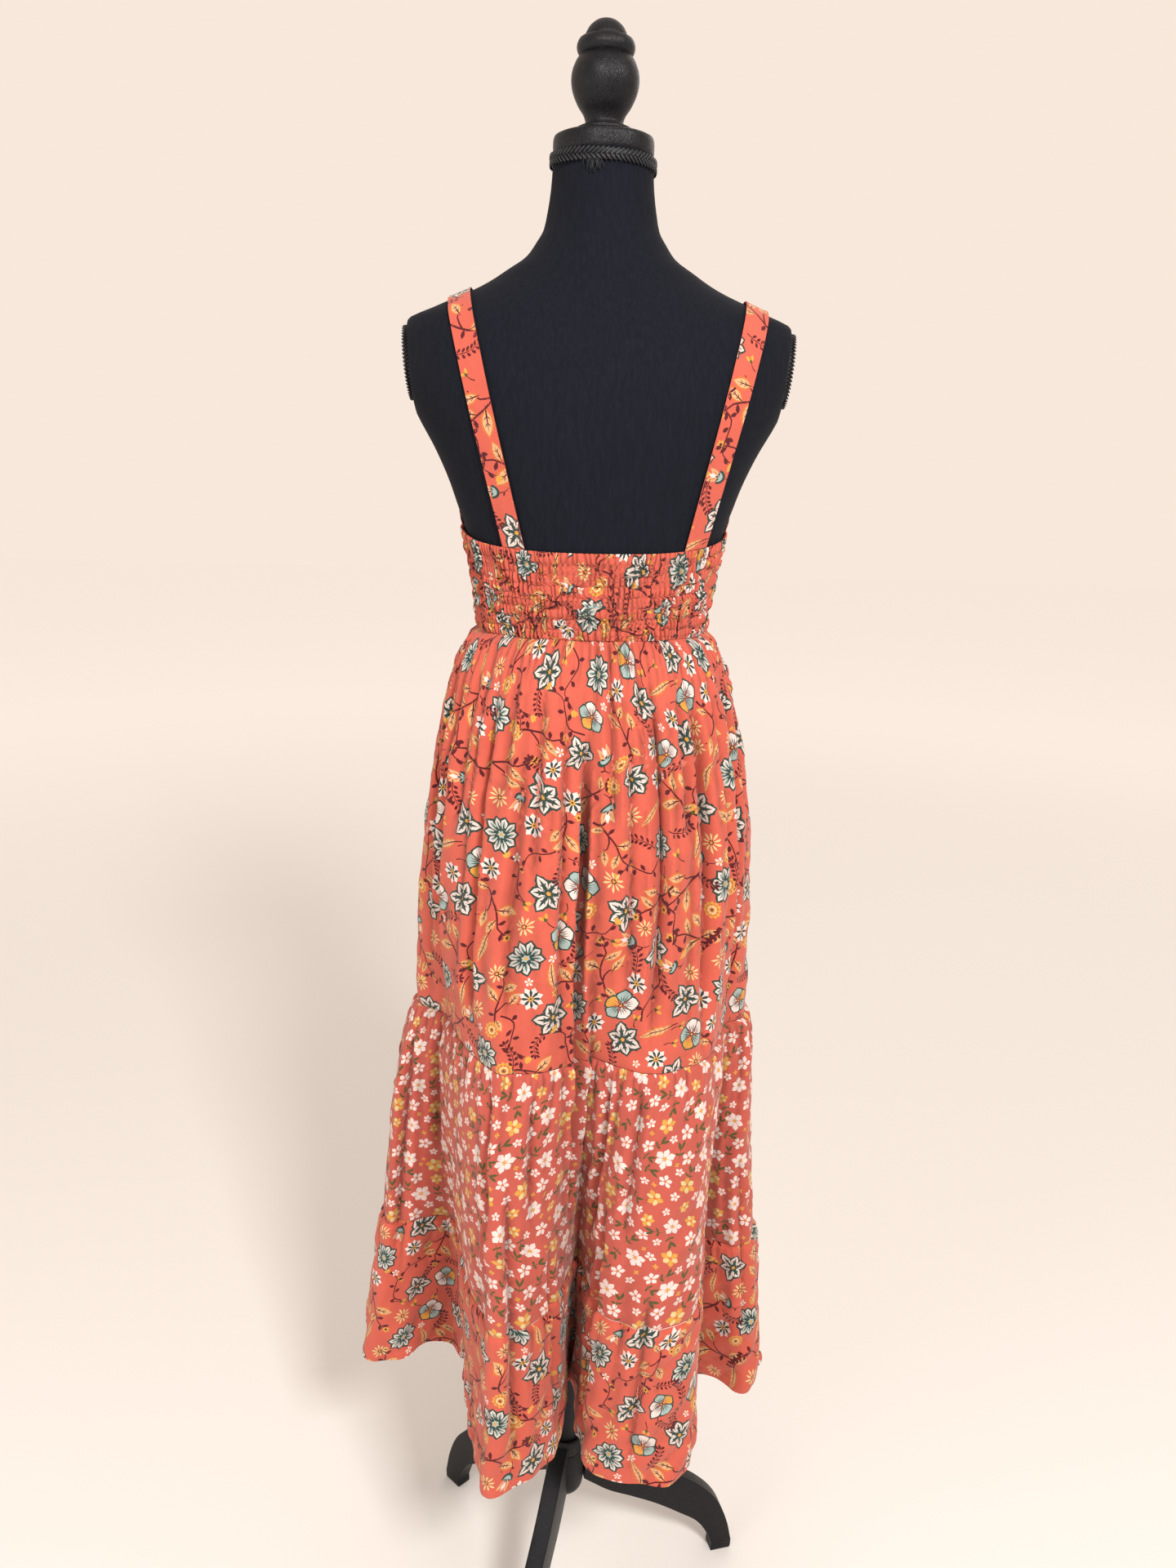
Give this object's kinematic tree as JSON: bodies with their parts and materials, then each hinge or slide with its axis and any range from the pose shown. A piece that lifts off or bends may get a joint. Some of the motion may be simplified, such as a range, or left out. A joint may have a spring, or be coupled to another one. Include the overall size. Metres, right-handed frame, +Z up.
{
  "type": "tiered dress on dress form",
  "caption": "Sleeveless dress in gathered tiers with a shirred back and flat straps, hanging on a limbless dress form with a turned knob and a three-legged stand.",
  "frame": {"origin": "on the floor, in the middle of the part's outline seen from above", "axes": "+Z up the stand's post, -Y out of the dress's back, +X to the right of the dress seen from its back"},
  "size_m": [0.4695, 0.4166, 1.7228],
  "materials": {
    "large_print_cloth": "woven viscose, coral with a printed flower and vine design",
    "small_print_cloth": "woven viscose, dusty coral with small printed flowers",
    "jersey": "matt stretch jersey",
    "braid": "corded gimp braid",
    "black_wood": "black stain under satin lacquer, open grain"
  },
  "bodies": {
    "root": {"strap_left": "large_print_cloth", "strap_right": "large_print_cloth", "bodice_back": "large_print_cloth", "bodice_front": "large_print_cloth", "skirt_upper_back": "large_print_cloth", "skirt_upper_front": "large_print_cloth", "skirt_lower_back": "large_print_cloth", "skirt_lower_front": "large_print_cloth", "skirt_middle_back": "small_print_cloth", "skirt_middle_front": "small_print_cloth", "torso": "jersey", "arm_plate_left": "jersey", "arm_plate_right": "jersey", "neck_braid": "braid", "arm_braid_left": "braid", "arm_braid_right": "braid", "neck_cap": "black_wood", "finial": "black_wood", "post": "black_wood", "hub": "black_wood", "leg_right": "black_wood", "leg_left": "black_wood", "leg_near": "black_wood"}
  },
  "joints": []
}
